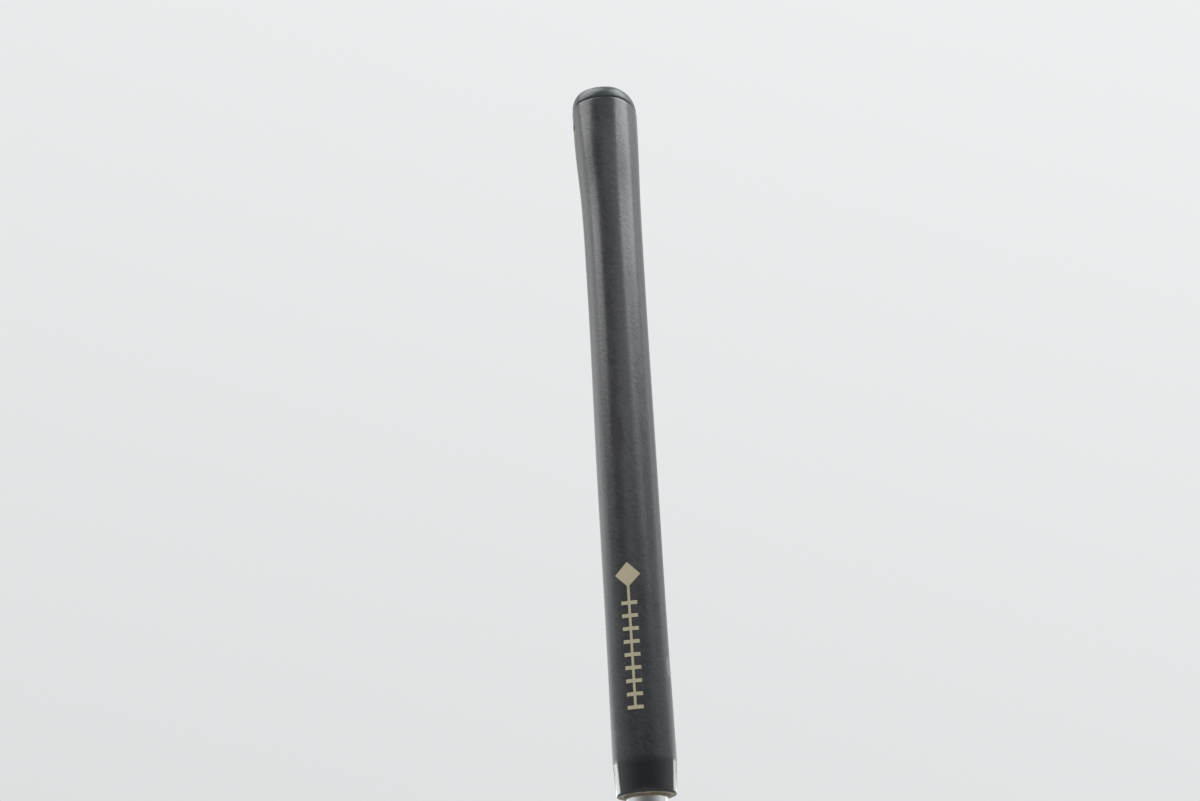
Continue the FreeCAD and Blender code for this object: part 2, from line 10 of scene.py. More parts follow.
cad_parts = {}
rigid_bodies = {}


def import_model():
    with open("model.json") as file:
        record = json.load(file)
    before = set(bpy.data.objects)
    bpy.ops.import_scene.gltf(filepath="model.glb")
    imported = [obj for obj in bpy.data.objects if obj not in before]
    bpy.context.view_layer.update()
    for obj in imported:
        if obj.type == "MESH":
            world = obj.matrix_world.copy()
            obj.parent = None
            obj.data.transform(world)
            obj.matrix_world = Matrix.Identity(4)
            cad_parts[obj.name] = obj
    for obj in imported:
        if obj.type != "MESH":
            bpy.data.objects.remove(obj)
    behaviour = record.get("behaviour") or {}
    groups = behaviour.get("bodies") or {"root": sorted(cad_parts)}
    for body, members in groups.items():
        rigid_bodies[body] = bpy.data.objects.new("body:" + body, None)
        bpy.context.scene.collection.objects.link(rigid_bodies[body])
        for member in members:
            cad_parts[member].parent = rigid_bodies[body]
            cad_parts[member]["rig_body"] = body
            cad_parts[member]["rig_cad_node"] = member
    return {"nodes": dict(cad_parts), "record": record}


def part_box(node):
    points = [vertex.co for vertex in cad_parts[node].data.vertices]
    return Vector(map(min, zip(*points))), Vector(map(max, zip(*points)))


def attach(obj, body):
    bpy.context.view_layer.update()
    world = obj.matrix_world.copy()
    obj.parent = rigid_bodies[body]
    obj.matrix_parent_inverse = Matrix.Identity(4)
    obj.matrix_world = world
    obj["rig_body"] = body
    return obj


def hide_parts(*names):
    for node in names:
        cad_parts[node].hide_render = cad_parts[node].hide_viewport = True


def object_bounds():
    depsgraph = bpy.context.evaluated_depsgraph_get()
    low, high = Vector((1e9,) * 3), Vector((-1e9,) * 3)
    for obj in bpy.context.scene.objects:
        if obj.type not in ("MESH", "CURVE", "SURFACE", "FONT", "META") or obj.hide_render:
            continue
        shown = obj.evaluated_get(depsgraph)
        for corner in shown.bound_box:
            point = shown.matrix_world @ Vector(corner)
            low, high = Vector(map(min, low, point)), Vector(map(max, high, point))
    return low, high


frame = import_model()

# Putter with a pistol grip. The shaft's axis is Z with the butt up, the grip's flat front and the head's toe
# look towards -Y, and the club's face towards +X. Lengths are in metres.
mm = 0.001
fullTurn = math.radians(360)
mergeReach = 0.002 * mm
cadBox = [list(corner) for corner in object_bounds()]
nodes = frame["nodes"]

# The seam between sleeve and cap is seen a little lower than where the solid sleeve ends
seamDrop = 0.6 * mm
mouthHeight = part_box("grip_sleeve")[0].z
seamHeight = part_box("grip_sleeve")[1].z - seamDrop
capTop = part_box("grip_end_cap")[1].z
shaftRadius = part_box("shaft")[1].x
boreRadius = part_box("grip_tape")[1].x


# Tools of the bench

def deselectAll():
    if bpy.context.object and bpy.context.object.mode != "OBJECT":
        bpy.ops.object.mode_set(mode="OBJECT")
    bpy.ops.object.select_all(action="DESELECT")


def workOn(piece):
    deselectAll()
    piece.select_set(True)
    bpy.context.view_layer.objects.active = piece


def editAll(piece):
    workOn(piece)
    bpy.ops.object.mode_set(mode="EDIT")
    bpy.ops.mesh.select_mode(type="VERT")
    bpy.ops.mesh.select_all(action="SELECT")


def pick(piece, kind, test):
    bpy.ops.mesh.select_mode(type={"verts": "VERT", "faces": "FACE"}[kind])
    bpy.ops.mesh.select_all(action="DESELECT")
    mesh = bmesh.from_edit_mesh(piece.data)
    for element in getattr(mesh, kind):
        if test(element):
            element.select_set(True)
    mesh.select_flush_mode()
    bmesh.update_edit_mesh(piece.data)


def looksUp(face):
    # Within about 25 degrees of straight up
    return face.normal.z > 0.9


def closeUp(piece, smoothAngle):
    # Merges the points that meet, turns all faces outwards and smooths all but the sharp edges
    editAll(piece)
    bpy.ops.mesh.remove_doubles(threshold=mergeReach)
    bpy.ops.mesh.select_all(action="SELECT")
    bpy.ops.mesh.normals_make_consistent(inside=False)
    bpy.ops.object.mode_set(mode="OBJECT")
    bpy.ops.object.shade_smooth_by_angle(angle=math.radians(smoothAngle))


def applyModifier(piece, kind, **settings):
    workOn(piece)
    modifier = piece.modifiers.new(kind.lower(), kind)
    for setting, value in settings.items():
        setattr(modifier, setting, value)
    bpy.ops.object.modifier_apply(modifier=modifier.name)


def wrapSheet(name, columns, rows):
    # A flat grid, laid round row by row: each row is a closed ring of points, the last row joins the first
    deselectAll()
    bpy.ops.mesh.primitive_grid_add(x_subdivisions=columns, y_subdivisions=len(rows), size=1)
    sheet = bpy.context.object
    sheet.name = name
    for point in sheet.data.vertices:
        across = round((point.co.x + 0.5) * columns) % columns
        along = round((point.co.y + 0.5) * len(rows)) % len(rows)
        point.co = rows[along][across]
    return sheet


def spinProfile(name, profile, steps, softening=0):
    # A closed profile of (radius, height) points, drawn point by point and spun about the shaft's axis
    deselectAll()
    bpy.ops.mesh.primitive_plane_add(size=mm, location=(profile[0][0], 0, profile[0][1]))
    piece = bpy.context.object
    piece.name = name
    editAll(piece)
    bpy.ops.mesh.merge(type="CENTER")
    for (lastRadius, lastHeight), (radius, height) in zip(profile, profile[1:]):
        step = (radius - lastRadius, 0, height - lastHeight)
        bpy.ops.mesh.extrude_region_move(TRANSFORM_OT_translate={"value": step})
    bpy.ops.mesh.select_all(action="SELECT")
    bpy.ops.object.mode_set(mode="OBJECT")
    bpy.ops.object.transform_apply()
    editAll(piece)
    ends = {0, len(profile) - 1}
    pick(piece, "verts", lambda point: point.index in ends)
    bpy.ops.mesh.edge_face_add()
    bpy.ops.mesh.select_all(action="SELECT")
    if softening:
        bpy.ops.mesh.bevel(affect="VERTICES", offset=softening, segments=2)
        bpy.ops.mesh.select_all(action="SELECT")
    bpy.ops.mesh.spin(steps=steps, angle=fullTurn, center=(0, 0, 0), axis=(0, 0, 1))
    bpy.ops.object.mode_set(mode="OBJECT")
    return piece


def refineCopy(node, name, edge=0, segments=3, smoothAngle=40, bevelAngle=32, flatAngle=0.5):
    # A copy of a CAD piece with its triangles merged to whole faces and its sharp edges rounded
    piece = nodes[node].copy()
    piece.data = nodes[node].data.copy()
    piece.name = name
    piece.parent = None
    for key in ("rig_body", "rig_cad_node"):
        del piece[key]
    bpy.context.scene.collection.objects.link(piece)
    workOn(piece)
    bpy.ops.mesh.customdata_custom_splitnormals_clear()
    editAll(piece)
    bpy.ops.mesh.remove_doubles(threshold=mergeReach)
    bpy.ops.mesh.select_all(action="SELECT")
    bpy.ops.mesh.dissolve_limited(angle_limit=math.radians(flatAngle))
    bpy.ops.object.mode_set(mode="OBJECT")
    if edge:
        applyModifier(piece, "BEVEL", width=edge, segments=segments, limit_method="ANGLE",
                      angle_limit=math.radians(bevelAngle), use_clamp_overlap=True)
    workOn(piece)
    bpy.ops.object.shade_smooth_by_angle(angle=math.radians(smoothAngle))
    applyModifier(piece, "WEIGHTED_NORMAL", keep_sharp=True)
    return piece


def finishPiece(piece, slot, finish, *replaced):
    piece.data.materials.clear()
    piece.data.materials.append(finish)
    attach(piece, "root")
    if replaced:
        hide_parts(*replaced)


def paintFaces(piece, finish, test):
    # A second finish on the faces that pass the test
    piece.data.materials.append(finish)
    editAll(piece)
    pick(piece, "faces", test)
    piece.active_material_index = 1
    bpy.ops.object.material_slot_assign()
    bpy.ops.object.mode_set(mode="OBJECT")


# Tools of the paint shop

# Most values of a noise field lie in this range
noiseReach = (0.3, 0.7)


def startFinish(name, **sockets):
    finish = bpy.data.materials.new(name)
    finish.use_nodes = True
    shader = finish.node_tree.nodes["Principled BSDF"]
    for socket, value in sockets.items():
        shader.inputs[socket.replace("_", " ")].default_value = value
    return finish, finish.node_tree, shader


def addNode(tree, kind, inputs=None, **settings):
    node = tree.nodes.new(kind)
    for setting, value in settings.items():
        setattr(node, setting, value)
    for socket, value in (inputs or {}).items():
        if isinstance(value, bpy.types.NodeSocket):
            tree.links.new(value, node.inputs[socket])
        else:
            node.inputs[socket].default_value = value
    return node


def coordinates(tree, stretch=(1, 1, 1), turn=(0, 0, 0)):
    place = addNode(tree, "ShaderNodeTexCoord").outputs["Object"]
    turned = addNode(tree, "ShaderNodeMapping", {"Vector": place, "Rotation": turn})
    return addNode(tree, "ShaderNodeMapping", {"Vector": turned.outputs[0], "Scale": stretch}).outputs[0]


def noise(tree, place, size, detail=4, roughness=0.5):
    inputs = {"Vector": place, "Scale": 1 / size, "Detail": detail, "Roughness": roughness}
    return addNode(tree, "ShaderNodeTexNoise", inputs).outputs["Fac"]


def between(tree, value, low, high, toLow=0.0, toHigh=1.0):
    inputs = {"Value": value, "From Min": low, "From Max": high, "To Min": toLow, "To Max": toHigh}
    return addNode(tree, "ShaderNodeMapRange", inputs).outputs[0]


def stretchNoise(tree, field, low=0.0, high=1.0):
    return between(tree, field, *noiseReach, low, high)


def combine(tree, operation, first, second):
    return addNode(tree, "ShaderNodeMath", {0: first, 1: second}, operation=operation).outputs[0]


def combineVectors(tree, operation, first, second):
    inputs = {0: first, 1: second}
    return addNode(tree, "ShaderNodeVectorMath", inputs, operation=operation).outputs["Vector"]


def dotProduct(tree, direction, side):
    inputs = {0: direction, 1: side}
    return addNode(tree, "ShaderNodeVectorMath", inputs, operation="DOT_PRODUCT").outputs["Value"]


def distanceOf(tree, place):
    return addNode(tree, "ShaderNodeVectorMath", {0: place}, operation="LENGTH").outputs["Value"]


def mixValue(tree, share, first, second):
    return addNode(tree, "ShaderNodeMix", {0: share, 2: first, 3: second}, data_type="FLOAT").outputs[0]


def mixColour(tree, share, first, second):
    return addNode(tree, "ShaderNodeMix", {0: share, 6: first, 7: second}, data_type="RGBA").outputs[2]


def bump(tree, height, distance, strength=1.0, under=None):
    inputs = {"Height": height, "Distance": distance, "Strength": strength}
    if under:
        inputs["Normal"] = under
    return addNode(tree, "ShaderNodeBump", inputs).outputs[0]


def plug(tree, shader, **sockets):
    for socket, value in sockets.items():
        tree.links.new(value, shader.inputs[socket.replace("_", " ")])


# Camera: where the photographer stood, below the grip and looking up at it

cameraSettings = {
    "place": (127.3 * mm, -710.2 * mm, -249.9 * mm),
    "turn": (109.953, 3.234, 11.963),
    "lens": 63,
    "sensorWidth": 36,
    "clipStart": 0.01,
}


def makeCamera():
    turn = [math.radians(angle) for angle in cameraSettings["turn"]]
    bpy.ops.object.camera_add(location=cameraSettings["place"], rotation=turn)
    camera = bpy.context.object
    camera.data.lens = cameraSettings["lens"]
    camera.data.sensor_width = cameraSettings["sensorWidth"]
    camera.data.clip_start = cameraSettings["clipStart"]
    bpy.context.scene.camera = camera


makeCamera()
bpy.context.scene.view_settings.view_transform = "Standard"
print("camera placed")


# Studio: a pale room, dark behind the camera, with large soft boxes high at both sides of the grip, weaker
# ones lower down and behind it, four low strips behind the grip for the collar's bright edges, and a pale
# floor that grows lighter with its distance from the club

studio = {
    "roomColour": (0.775, 0.785, 0.79, 1),
    "lowColour": (0.719, 0.729, 0.735, 1),
    "highColour": (0.866, 0.874, 0.881, 1),
    "brightSide": (0.391, -0.252, 0.885),
    "gradientReach": 0.3,
    "farSide": (-0.187, 0.982, 0),
    "darkColour": (0.17, 0.172, 0.176, 1),
    "darkFrom": -0.05,
    "darkTo": -0.95,
    "floorRadius": 60,
    "floorColumns": 128,
    "floorColour": (0.58, 0.588, 0.592, 1),
    "farFloorColour": (0.92, 0.928, 0.932, 1),
    "floorFade": (0.4, 5.0),
    "floorRoughness": 0.9,
    "floorGap": 0.1 * mm,
    "aim": (0, 0, 0.08),
    "coolLamp": "rightMain",
    "coolColour": (0.93, 0.965, 1.0),
    # name: (place, width, height, brightness)
    "lamps": {
        "rightMain": ((0.530, -0.017, 0.611), 0.73, 0.64, 5.1),
        "leftMain": ((-0.382, -0.246, 0.679), 0.68, 0.99, 3.83),
        "rightRim": ((0.447, 0.734, -0.034), 0.59, 0.19, 0.45),
        "leftRim": ((-0.609, 0.553, 0.084), 0.5, 0.54, 0.3),
        "leftLow": ((-0.848, 0.198, 0.362), 0.66, 0.36, 0.94),
        "rightLow": ((0.626, 0.539, 0.441), 0.31, 0.68, 0.66),
        "frontFill": ((0.451, -0.583, 0.311), 1.49, 0.2, 1.43),
        "rightStripOuter": ((0.607, 0.744, -0.050), 0.24, 0.12, 3.4),
        "leftStripOuter": ((-0.869, 0.409, -0.050), 0.32, 0.12, 5.0),
        "rightStripInner": ((0.284, 0.917, -0.050), 0.5, 0.12, 1.9),
        "leftStripInner": ((-0.601, 0.748, -0.050), 0.55, 0.12, 2.8),
    },
}


def makeRoom():
    world = bpy.data.worlds.new("studioRoom")
    bpy.context.scene.world = world
    world.use_nodes = True
    tree = world.node_tree
    seen = tree.nodes["Background"]
    direction = addNode(tree, "ShaderNodeTexCoord").outputs["Generated"]
    rise = dotProduct(tree, direction, studio["brightSide"])
    share = between(tree, rise, -studio["gradientReach"], studio["gradientReach"])
    tree.links.new(mixColour(tree, share, studio["lowColour"], studio["highColour"]), seen.inputs["Color"])
    facing = dotProduct(tree, direction, studio["farSide"])
    share = between(tree, facing, studio["darkFrom"], studio["darkTo"])
    shade = mixColour(tree, share, studio["roomColour"], studio["darkColour"])
    lit = addNode(tree, "ShaderNodeBackground", {"Color": shade})
    path = addNode(tree, "ShaderNodeLightPath")
    straight = combine(tree, "MAXIMUM", path.outputs["Is Camera Ray"], path.outputs["Is Transmission Ray"])
    mixed = addNode(tree, "ShaderNodeMixShader", {0: straight, 1: lit.outputs[0], 2: seen.outputs[0]})
    tree.links.new(mixed.outputs[0], tree.nodes["World Output"].inputs["Surface"])


def makeLamp(name, place, width, height, brightness):
    deselectAll()
    turn = (Vector(studio["aim"]) - Vector(place)).to_track_quat("-Z", "Y").to_euler()
    bpy.ops.object.light_add(type="AREA", location=place, rotation=turn)
    lamp = bpy.context.object
    lamp.name = name
    lamp.data.shape = "RECTANGLE"
    lamp.data.size = width
    lamp.data.size_y = height
    lamp.data.energy = brightness * math.pi * width * height
    if name == studio["coolLamp"]:
        lamp.data.color = studio["coolColour"]
    lamp.visible_camera = False


def makeFloor():
    deselectAll()
    bpy.ops.mesh.primitive_circle_add(vertices=studio["floorColumns"], radius=studio["floorRadius"],
                                      fill_type="NGON",
                                      location=(0, 0, cadBox[0][2] - studio["floorGap"]))
    floor = bpy.context.object
    floor.name = "studioFloor"
    finish, tree, shader = startFinish("paleFloor", Roughness=studio["floorRoughness"])
    share = between(tree, distanceOf(tree, coordinates(tree)), *studio["floorFade"])
    plug(tree, shader, Base_Color=mixColour(tree, share, studio["floorColour"], studio["farFloorColour"]))
    floor.data.materials.append(finish)


makeRoom()
for name, (place, width, height, brightness) in studio["lamps"].items():
    makeLamp(name, place, width, height, brightness)
makeFloor()
print("studio lit")


# Grip rubber

gripRubber = {
    "darkColour": (0.0138, 0.0144, 0.0160, 1),
    "paleColour": (0.0286, 0.0296, 0.0330, 1),
    "collarColour": (0.014, 0.0145, 0.0155, 1),
    "stainColour": (0.30, 0.28, 0.21, 1),
    "glueColour": (0.11, 0.075, 0.045, 1),
    "strokeLean": 32,
    "strokeLength": 3.2 * mm,
    "strokeWidth": 0.85 * mm,
    "grainSize": 0.9 * mm,
    "patchSize": 9 * mm,
    "strokeDepth": 0.028 * mm,
    "grainDepth": 0.013 * mm,
    "bodyRoughness": (0.25, 0.30),
    "collarRoughness": (0.08, 0.13),
    "bodyGloss": 0.62,
    "glossSpread": (0.89, 1.11),
    "collarGloss": 0.5,
    "wearAndShadeGloss": 0.0,
    "toneRange": (1.15, 1.85),
    "fineRange": (0.7, 1.3),
    "changeRun": 1.4 * mm,
    "mouthGloss": 0.4,
    "mouthRoughness": (0.35, 0.6),
    "stainSize": 2.5 * mm,
    "stainRange": (0.35, 0.62),
    "raggedSize": 0.9 * mm,
    "wearAndShadeEdge": (1.7, 1.1),
    # name: (place, size, colour)
    "wear": {
        # The nick is painted shade: a dim patch without gloss stands in for the shadow in a dent
        "nickShade": ((-11.2 * mm, -3.9 * mm, 121.7 * mm), (2.5 * mm, 3.2 * mm, 1.9 * mm),
                 (0.036, 0.036, 0.033, 1)),
        "scuff": ((-11.2 * mm, -3.9 * mm, 119.1 * mm), (2.5 * mm, 3.0 * mm, 0.9 * mm),
                  (0.22, 0.20, 0.12, 1)),
        "smudge": ((-0.4 * mm, -10.5 * mm, -5.0 * mm), (2.4 * mm, 3.0 * mm, 7.5 * mm),
                   (0.046, 0.046, 0.047, 1)),
        "rub": ((10.7 * mm, -1.0 * mm, -89.5 * mm), (1.6 * mm, 2.0 * mm, 3.6 * mm),
                (0.23, 0.224, 0.205, 1)),
    },
}


def paintWearAndShade(tree, place, colour):
    # Small worn places with ragged edges, one of them a nick painted as shade: gives the colour with them in
    # it, and where they are
    ragged = noise(tree, place, gripRubber["raggedSize"])
    wearAndShadeMask = None
    for middle, size, tint in gripRubber["wear"].values():
        shifted = combineVectors(tree, "SUBTRACT", place, middle)
        reach = distanceOf(tree, combineVectors(tree, "DIVIDE", shifted, size))
        share = between(tree, combine(tree, "ADD", reach, ragged), *gripRubber["wearAndShadeEdge"])
        colour = mixColour(tree, share, colour, tint)
        wearAndShadeMask = combine(tree, "MAXIMUM", wearAndShadeMask, share) if wearAndShadeMask else share
    return colour, wearAndShadeMask


def makeGripRubber():
    # Satin and textured on the body, smooth and glossier on the collar
    finish, tree, shader = startFinish("gripRubber")
    lean = math.radians(gripRubber["strokeLean"])
    perStroke = (1 / gripRubber["strokeLength"], 1 / gripRubber["strokeWidth"], 1)
    unwrapped = addNode(tree, "ShaderNodeTexCoord").outputs["UV"]
    sheet = addNode(tree, "ShaderNodeMapping", {"Vector": unwrapped, "Scale": gripSleeve["sheetSize"]})
    turned = addNode(tree, "ShaderNodeMapping", {"Vector": sheet.outputs[0], "Rotation": (0, 0, lean)})
    surface = addNode(tree, "ShaderNodeMapping", {"Vector": turned.outputs[0], "Scale": perStroke})
    strokes = noise(tree, surface.outputs[0], 1.0, detail=2)
    place = coordinates(tree)
    height = addNode(tree, "ShaderNodeSeparateXYZ", {"Vector": place}).outputs["Z"]
    bodyLow = mouthHeight + gripSleeve["mouthRise"] + gripSleeve["collarLength"]
    onBody = between(tree, height, bodyLow - gripRubber["changeRun"], bodyLow + gripRubber["changeRun"])
    grain = noise(tree, place, gripRubber["grainSize"], detail=3)
    patches = noise(tree, place, gripRubber["patchSize"], detail=5, roughness=0.6)
    fine = combine(tree, "ADD", strokes, grain)
    share = between(tree, combine(tree, "ADD", fine, patches), *gripRubber["toneRange"])
    colour = mixColour(tree, share, gripRubber["darkColour"], gripRubber["paleColour"])
    colour, wearAndShadeMask = paintWearAndShade(tree, place, mixColour(tree, onBody, gripRubber["collarColour"], colour))
    bodyRough = stretchNoise(tree, patches, *gripRubber["bodyRoughness"])
    collarRough = stretchNoise(tree, patches, *gripRubber["collarRoughness"])
    rough = mixValue(tree, onBody, collarRough, bodyRough)
    gloss = between(tree, onBody, 0, 1, gripRubber["collarGloss"], gripRubber["bodyGloss"])
    spread = between(tree, fine, *gripRubber["fineRange"], *gripRubber["glossSpread"])
    # Gloss is taken away where the marks lie; at the nick this is painted shade
    gloss = mixValue(tree, wearAndShadeMask, combine(tree, "MULTIPLY", gloss, spread), gripRubber["wearAndShadeGloss"])
    relief = bump(tree, strokes, gripRubber["strokeDepth"], strength=onBody)
    relief = bump(tree, grain, gripRubber["grainDepth"], strength=onBody, under=relief)
    plug(tree, shader, Base_Color=colour, Roughness=rough, Specular_IOR_Level=gloss, Normal=relief)
    return finish


def makeMouthRubber():
    # The mouth's end face, stained by the glue under it
    finish, tree, shader = startFinish("mouthRubber", Specular_IOR_Level=gripRubber["mouthGloss"])
    stain = noise(tree, coordinates(tree), gripRubber["stainSize"], detail=5)
    share = between(tree, stain, *gripRubber["stainRange"])
    colour = mixColour(tree, share, gripRubber["glueColour"], gripRubber["stainColour"])
    plug(tree, shader, Base_Color=colour, Roughness=stretchNoise(tree, stain, *gripRubber["mouthRoughness"]))
    return finish


# Grip sleeve: pistol body with a flat front, smooth collar and rounded mouth

gripSleeve = {
    "halfWidth": 10.9 * mm,
    "collarLength": 11.3 * mm,
    "roundShare": 1.018,
    "roundedUpTo": 0.07,
    "mouthRise": 0.7 * mm,
    "columns": 160,
    "easing": 1.5 * mm,
    "frontColumns": 14,
    "creaseColumns": 10,
    "sideColumns": 22,
    "runColumns": 2,
    "backColumns": 60,
    "bodyRows": 240,
    # way round and length of the unwrapped sleeve
    "sheetSize": (0.068, 0.275, 1),
    # share of the height from collar to seam, then shares of halfWidth: half width, half width of the flat
    # front, depth of the front, its camber, lag of the widest place behind the axis, length of the straight
    # side, radius of the rounded crease, sideways bend
    "sectionShares": [
        (0.070, 1.008, 0.413, 1.004, 0.074, 0.012, 0.037, 0.45, 0.000),
        (0.150, 0.996, 0.413, 0.986, 0.057, 0.030, 0.046, 0.45, 0.000),
        (0.430, 1.000, 0.400, 0.967, 0.037, 0.110, 0.064, 0.45, 0.005),
        (0.710, 0.990, 0.370, 0.950, 0.035, 0.215, 0.078, 0.35, 0.022),
        (0.850, 1.020, 0.390, 0.995, 0.046, 0.210, 0.120, 0.35, 0.020),
        (0.945, 1.097, 0.560, 1.147, 0.115, 0.155, 0.185, 0.32, 0.000),
        (1.000, 1.110, 0.700, 1.211, 0.220, 0.128, 0.239, 0.30, 0.000),
    ],
    # (height over the mouth, radius) of the mouth's end face, its rounding and the collar
    "collarProfile": [
        (0.35 * mm, 7.62 * mm), (0.0, 7.95 * mm), (0.0, 9.86 * mm), (0.08 * mm, 10.10 * mm),
        (0.22 * mm, 10.27 * mm), (0.45 * mm, 10.39 * mm), (0.9 * mm, 10.46 * mm), (2.6 * mm, 10.55 * mm),
        (5.0 * mm, 10.69 * mm), (8.0 * mm, 10.87 * mm), (10.0 * mm, 10.99 * mm), (10.7 * mm, 11.045 * mm),
    ],
    "endFaceHeight": 0.08 * mm,
    "seamRound": 0.35 * mm,
    "seamTurns": (30, 60, 90),
    "boreShares": (1.0, 0.6, 0.2),
    "smoothAngle": 50,
}


def sectionAt(share):
    # Each share follows a smooth curve through the table's rows
    table = np.array(gripSleeve["sectionShares"])
    heights, values = table[:, 0], table[:, 1:]
    slopes = np.gradient(values, heights, axis=0)
    row = min(int(np.searchsorted(heights, share, side="right")) - 1, len(heights) - 2)
    run = heights[row + 1] - heights[row]
    place = (share - heights[row]) / run
    near, far = 2 * place ** 3 - 3 * place ** 2 + 1, 3 * place ** 2 - 2 * place ** 3
    leave, arrive = place * (1 - place) ** 2, place ** 2 * (place - 1)
    return near * values[row] + far * values[row + 1] + run * (leave * slopes[row] + arrive * slopes[row + 1])


def arcPoints(centre, radius, start, end, count):
    angles = [start + (end - start) * step / count for step in range(count)]
    return [(centre[0] + radius * math.cos(angle), centre[1] + radius * math.sin(angle)) for angle in angles]


def cornerOutline(share):
    # One section out of arcs, anticlockwise from the left end of the flat front
    sizes = [value * gripSleeve["halfWidth"] for value in sectionAt(share)]
    wide, flat, front, camber, lag, run, crease, bend = sizes
    gap, reach = wide - flat, front - camber + lag
    sideRadius = (gap ** 2 + reach ** 2) / (2 * gap)
    frontRadius = (flat ** 2 + camber ** 2) / (2 * camber)
    # The crease's centre lies its own radius inside the front's circle and inside the side's
    frontCentre, sideCentre = Vector((0, frontRadius - front)), Vector((wide - sideRadius, lag))
    apart = sideCentre - frontCentre
    toCrease, toSide = frontRadius - crease, sideRadius - crease
    along = (toCrease ** 2 - toSide ** 2 + apart.length ** 2) / (2 * apart.length)
    off = math.sqrt(toCrease ** 2 - along ** 2)
    unit = apart.normalized()
    centre = frontCentre + unit * along + Vector((-unit.y, unit.x)) * off
    if centre.y > (frontCentre + unit * along).y:
        centre = frontCentre + unit * along - Vector((-unit.y, unit.x)) * off
    frontTurn = math.atan2(centre.y - frontCentre.y, centre.x - frontCentre.x)
    sideTurn = math.atan2(centre.y - sideCentre.y, centre.x - sideCentre.x)
    down = -math.pi / 2
    steps = gripSleeve["runColumns"]
    creaseSteps, sideSteps = gripSleeve["creaseColumns"], gripSleeve["sideColumns"]
    points = arcPoints(frontCentre, frontRadius, 2 * down - frontTurn, frontTurn, gripSleeve["frontColumns"])
    points += arcPoints(centre, crease, frontTurn, sideTurn, creaseSteps)
    points += arcPoints(sideCentre, sideRadius, sideTurn, 0, sideSteps)
    points += [(wide, lag + run * step / steps) for step in range(steps)]
    points += arcPoints((0, lag + run), wide, 0, math.pi, gripSleeve["backColumns"])
    points += [(-wide, lag + run - run * step / steps) for step in range(steps)]
    points += arcPoints((-sideCentre.x, lag), sideRadius, math.pi, math.pi - sideTurn, sideSteps)
    points += arcPoints((-centre.x, centre.y), crease, math.pi - sideTurn, math.pi - frontTurn, creaseSteps)
    return np.array([(x + bend, y) for x, y in points])


def gripOutline(share, scale=1.0):
    # The section in even columns with its curvature eased; the lowest ones turn into the collar's circle
    corners = cornerOutline(max(share, gripSleeve["roundedUpTo"]))
    columns = gripSleeve["columns"]
    ring = np.vstack([corners, corners[:1]])
    walked = np.concatenate([[0], np.cumsum(np.hypot(*np.diff(ring, axis=0).T))])
    stops = np.linspace(0, walked[-1], columns, endpoint=False)
    even = np.stack([np.interp(stops, walked, ring[:, axis]) for axis in (0, 1)], axis=1)
    apart = (np.arange(columns) - columns // 2) * walked[-1] / columns
    weights = np.exp(-0.5 * (apart / gripSleeve["easing"]) ** 2)
    spread = np.fft.fft(np.fft.ifftshift(weights / weights.sum()))[:, None]
    eased = np.real(np.fft.ifft(np.fft.fft(even, axis=0) * spread, axis=0))
    eased *= np.ptp(even, axis=0) / np.ptp(eased, axis=0)
    if share < gripSleeve["roundedUpTo"]:
        part = max(share, 0) / gripSleeve["roundedUpTo"]
        part = part * part * (3 - 2 * part)
        reach = np.hypot(*eased.T)[:, None]
        eased *= part + (1 - part) * gripSleeve["halfWidth"] * gripSleeve["roundShare"] / reach
    return [tuple(point) for point in eased * scale]


def liftOutline(outline, height):
    return [(x, y, height) for x, y in outline]


def roundRow(outline, radius, height):
    # The same columns drawn in or out to a circle
    row = []
    for x, y in outline:
        reach = math.hypot(x, y)
        row.append((x * radius / reach, y * radius / reach, height))
    return row


def growOutline(outline, grow):
    # The outline moved outwards by a small distance, along the line from the axis
    return [(x * (1 + grow / math.hypot(x, y)), y * (1 + grow / math.hypot(x, y))) for x, y in outline]


def makeGripSleeve():
    collarOutline = gripOutline(0)
    rows = []
    mouth = mouthHeight + gripSleeve["mouthRise"]
    for height, radius in gripSleeve["collarProfile"]:
        rows.append(roundRow(collarOutline, radius, mouth + height))
    bodyLow = mouth + gripSleeve["collarLength"]
    bodyRun = seamHeight - gripSleeve["seamRound"] - bodyLow
    for step in range(gripSleeve["bodyRows"] + 1):
        height = bodyLow + bodyRun * step / gripSleeve["bodyRows"]
        share = (height - bodyLow) / (seamHeight - bodyLow)
        rows.append(liftOutline(gripOutline(share), height))
    last = gripOutline(1)
    for turn in gripSleeve["seamTurns"]:
        drawnIn = gripSleeve["seamRound"] * (1 - math.cos(math.radians(turn)))
        lifted = gripSleeve["seamRound"] * math.sin(math.radians(turn))
        rows.append(liftOutline(growOutline(last, -drawnIn), seamHeight - gripSleeve["seamRound"] + lifted))
    for share in gripSleeve["boreShares"]:
        rows.append(roundRow(last, boreRadius, mouth + (seamHeight - mouth) * share))
    sleeve = wrapSheet("gripSleeve", len(last), rows)
    closeUp(sleeve, gripSleeve["smoothAngle"])
    finishPiece(sleeve, "grip_rubber", makeGripRubber(), "grip_sleeve")
    endFaceTop = mouth + gripSleeve["endFaceHeight"]
    paintFaces(sleeve, makeMouthRubber(), lambda face: face.calc_center_median().z < endFaceTop)


makeGripSleeve()
print("grip sleeve made")


# Grip end cap: domed rubber on a plug, with a groove where it meets the sleeve

